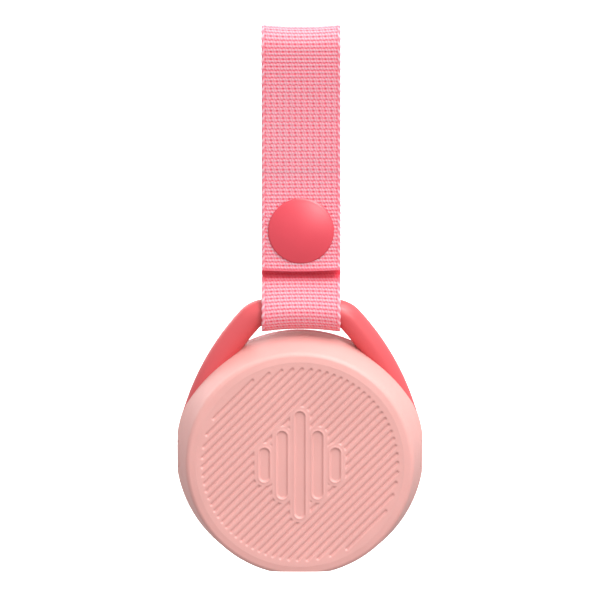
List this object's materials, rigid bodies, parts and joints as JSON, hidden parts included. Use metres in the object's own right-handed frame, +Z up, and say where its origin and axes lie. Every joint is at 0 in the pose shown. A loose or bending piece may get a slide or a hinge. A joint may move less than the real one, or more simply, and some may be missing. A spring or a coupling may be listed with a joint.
{
  "type": "clip-on shower speaker",
  "caption": "Round splash-proof wireless speaker with a ribbed rubber back and a carry loop, hanging from a snap-closed webbing strap.",
  "frame": {"origin": "centre of the strap's top fold, where a hook or rail sits", "axes": "+Z up along the hanging strap, +X along the fold, -Y out of the ribbed back, +Y out of the grille"},
  "size_m": [0.0866, 0.031, 0.1907],
  "materials": {
    "strap_webbing": "matte",
    "thread": "matte",
    "snap_plastic": "satin",
    "snap_metal": "satin",
    "pale_rubber": "matte",
    "inner_plastic": "matte",
    "coral_plastic": "satin",
    "black_rubber": "matte",
    "diffuser": "satin",
    "board": "satin",
    "led_body": "gloss",
    "grille_metal": "satin",
    "cloth": "matte",
    "foam": "matte",
    "basket_steel": "satin",
    "magnet_steel": "satin",
    "copper": "satin",
    "paper_cone": "matte",
    "screw_steel": "satin",
    "chip": "matte",
    "cell_wrap": "satin",
    "socket_steel": "satin",
    "flex": "satin",
    "lead_wire": "satin"
  },
  "bodies": {
    "strap": {"strap": "strap_webbing", "strap_stitching": "thread", "snap_stud": "snap_metal", "snap_back": "snap_plastic"},
    "strap_end": {"strap_flap": "strap_webbing", "snap_cap": "snap_plastic", "snap_socket": "snap_metal"},
    "speaker": {"back_cover": "pale_rubber", "ribbed_panel": "pale_rubber", "rear_shell": "inner_plastic", "carry_frame": "coral_plastic", "front_baffle": "inner_plastic", "seal_ring": "black_rubber", "light_ring": "diffuser", "led_board": "board", "leds": "led_body", "grille": "grille_metal", "grille_cloth": "cloth", "driver_gasket": "foam", "driver_basket": "basket_steel", "driver_magnet": "magnet_steel", "driver_surround": "black_rubber", "driver_screws": "screw_steel", "housing_screws": "screw_steel", "main_board": "board", "board_parts": "chip", "battery": "cell_wrap", "battery_pad": "foam", "usb_socket": "socket_steel", "flex_boards": "flex", "speaker_leads": "lead_wire", "button_switches": "chip"},
    "cone": {"driver_cone": "paper_cone", "voice_coil": "copper"},
    "port_cap": {"port_cap": "pale_rubber"},
    "button_power": {"button_power": "pale_rubber"},
    "button_pairing": {"button_pairing": "pale_rubber"},
    "button_light": {"button_light": "pale_rubber"},
    "button_play": {"button_play": "pale_rubber"},
    "button_volume_up": {"button_volume_up": "pale_rubber"},
    "button_volume_down": {"button_volume_down": "pale_rubber"}
  },
  "joints": [
    {"name": "speaker_swing", "type": "hinge", "parent": "strap", "child": "speaker", "pos_m": [0, 0, -0.0945], "axis": [1, 0, 0], "range_deg": [-75, 75]},
    {"name": "snap_opening", "type": "hinge", "parent": "strap", "child": "strap_end", "pos_m": [0, -0.0045, -0.049], "axis": [-1, 0, 0], "range_deg": [0, 75], "stiffness_Nm_per_rad": 0.0006},
    {"name": "cone_travel", "type": "slide", "parent": "speaker", "child": "cone", "axis": [0, 1, 0], "range_m": [-0.001, 0.001], "stiffness_N_per_m": 900, "deforming": ["driver_surround"]},
    {"name": "port_cap_hinge", "type": "hinge", "parent": "speaker", "child": "port_cap", "pos_m": [0.0016, -0.0064, -0.1844], "axis": [-1, 0, 0], "range_deg": [0, 100]},
    {"name": "press_power", "type": "slide", "parent": "speaker", "child": "button_power", "axis": [1, 0, 0], "range_m": [0, 0.00045], "stiffness_N_per_m": 2500},
    {"name": "press_pairing", "type": "slide", "parent": "speaker", "child": "button_pairing", "axis": [0.9455, 0, 0.3256], "range_m": [0, 0.00045], "stiffness_N_per_m": 2500},
    {"name": "press_light", "type": "slide", "parent": "speaker", "child": "button_light", "axis": [0.788, 0, 0.6157], "range_m": [0, 0.00045], "stiffness_N_per_m": 2500},
    {"name": "press_play", "type": "slide", "parent": "speaker", "child": "button_play", "axis": [-1, 0, 0], "range_m": [0, 0.00045], "stiffness_N_per_m": 2500},
    {"name": "press_volume_up", "type": "slide", "parent": "speaker", "child": "button_volume_up", "axis": [-0.9455, 0, 0.3256], "range_m": [0, 0.00045], "stiffness_N_per_m": 2500},
    {"name": "press_volume_down", "type": "slide", "parent": "speaker", "child": "button_volume_down", "axis": [-0.788, 0, 0.6157], "range_m": [0, 0.00045], "stiffness_N_per_m": 2500}
  ]
}
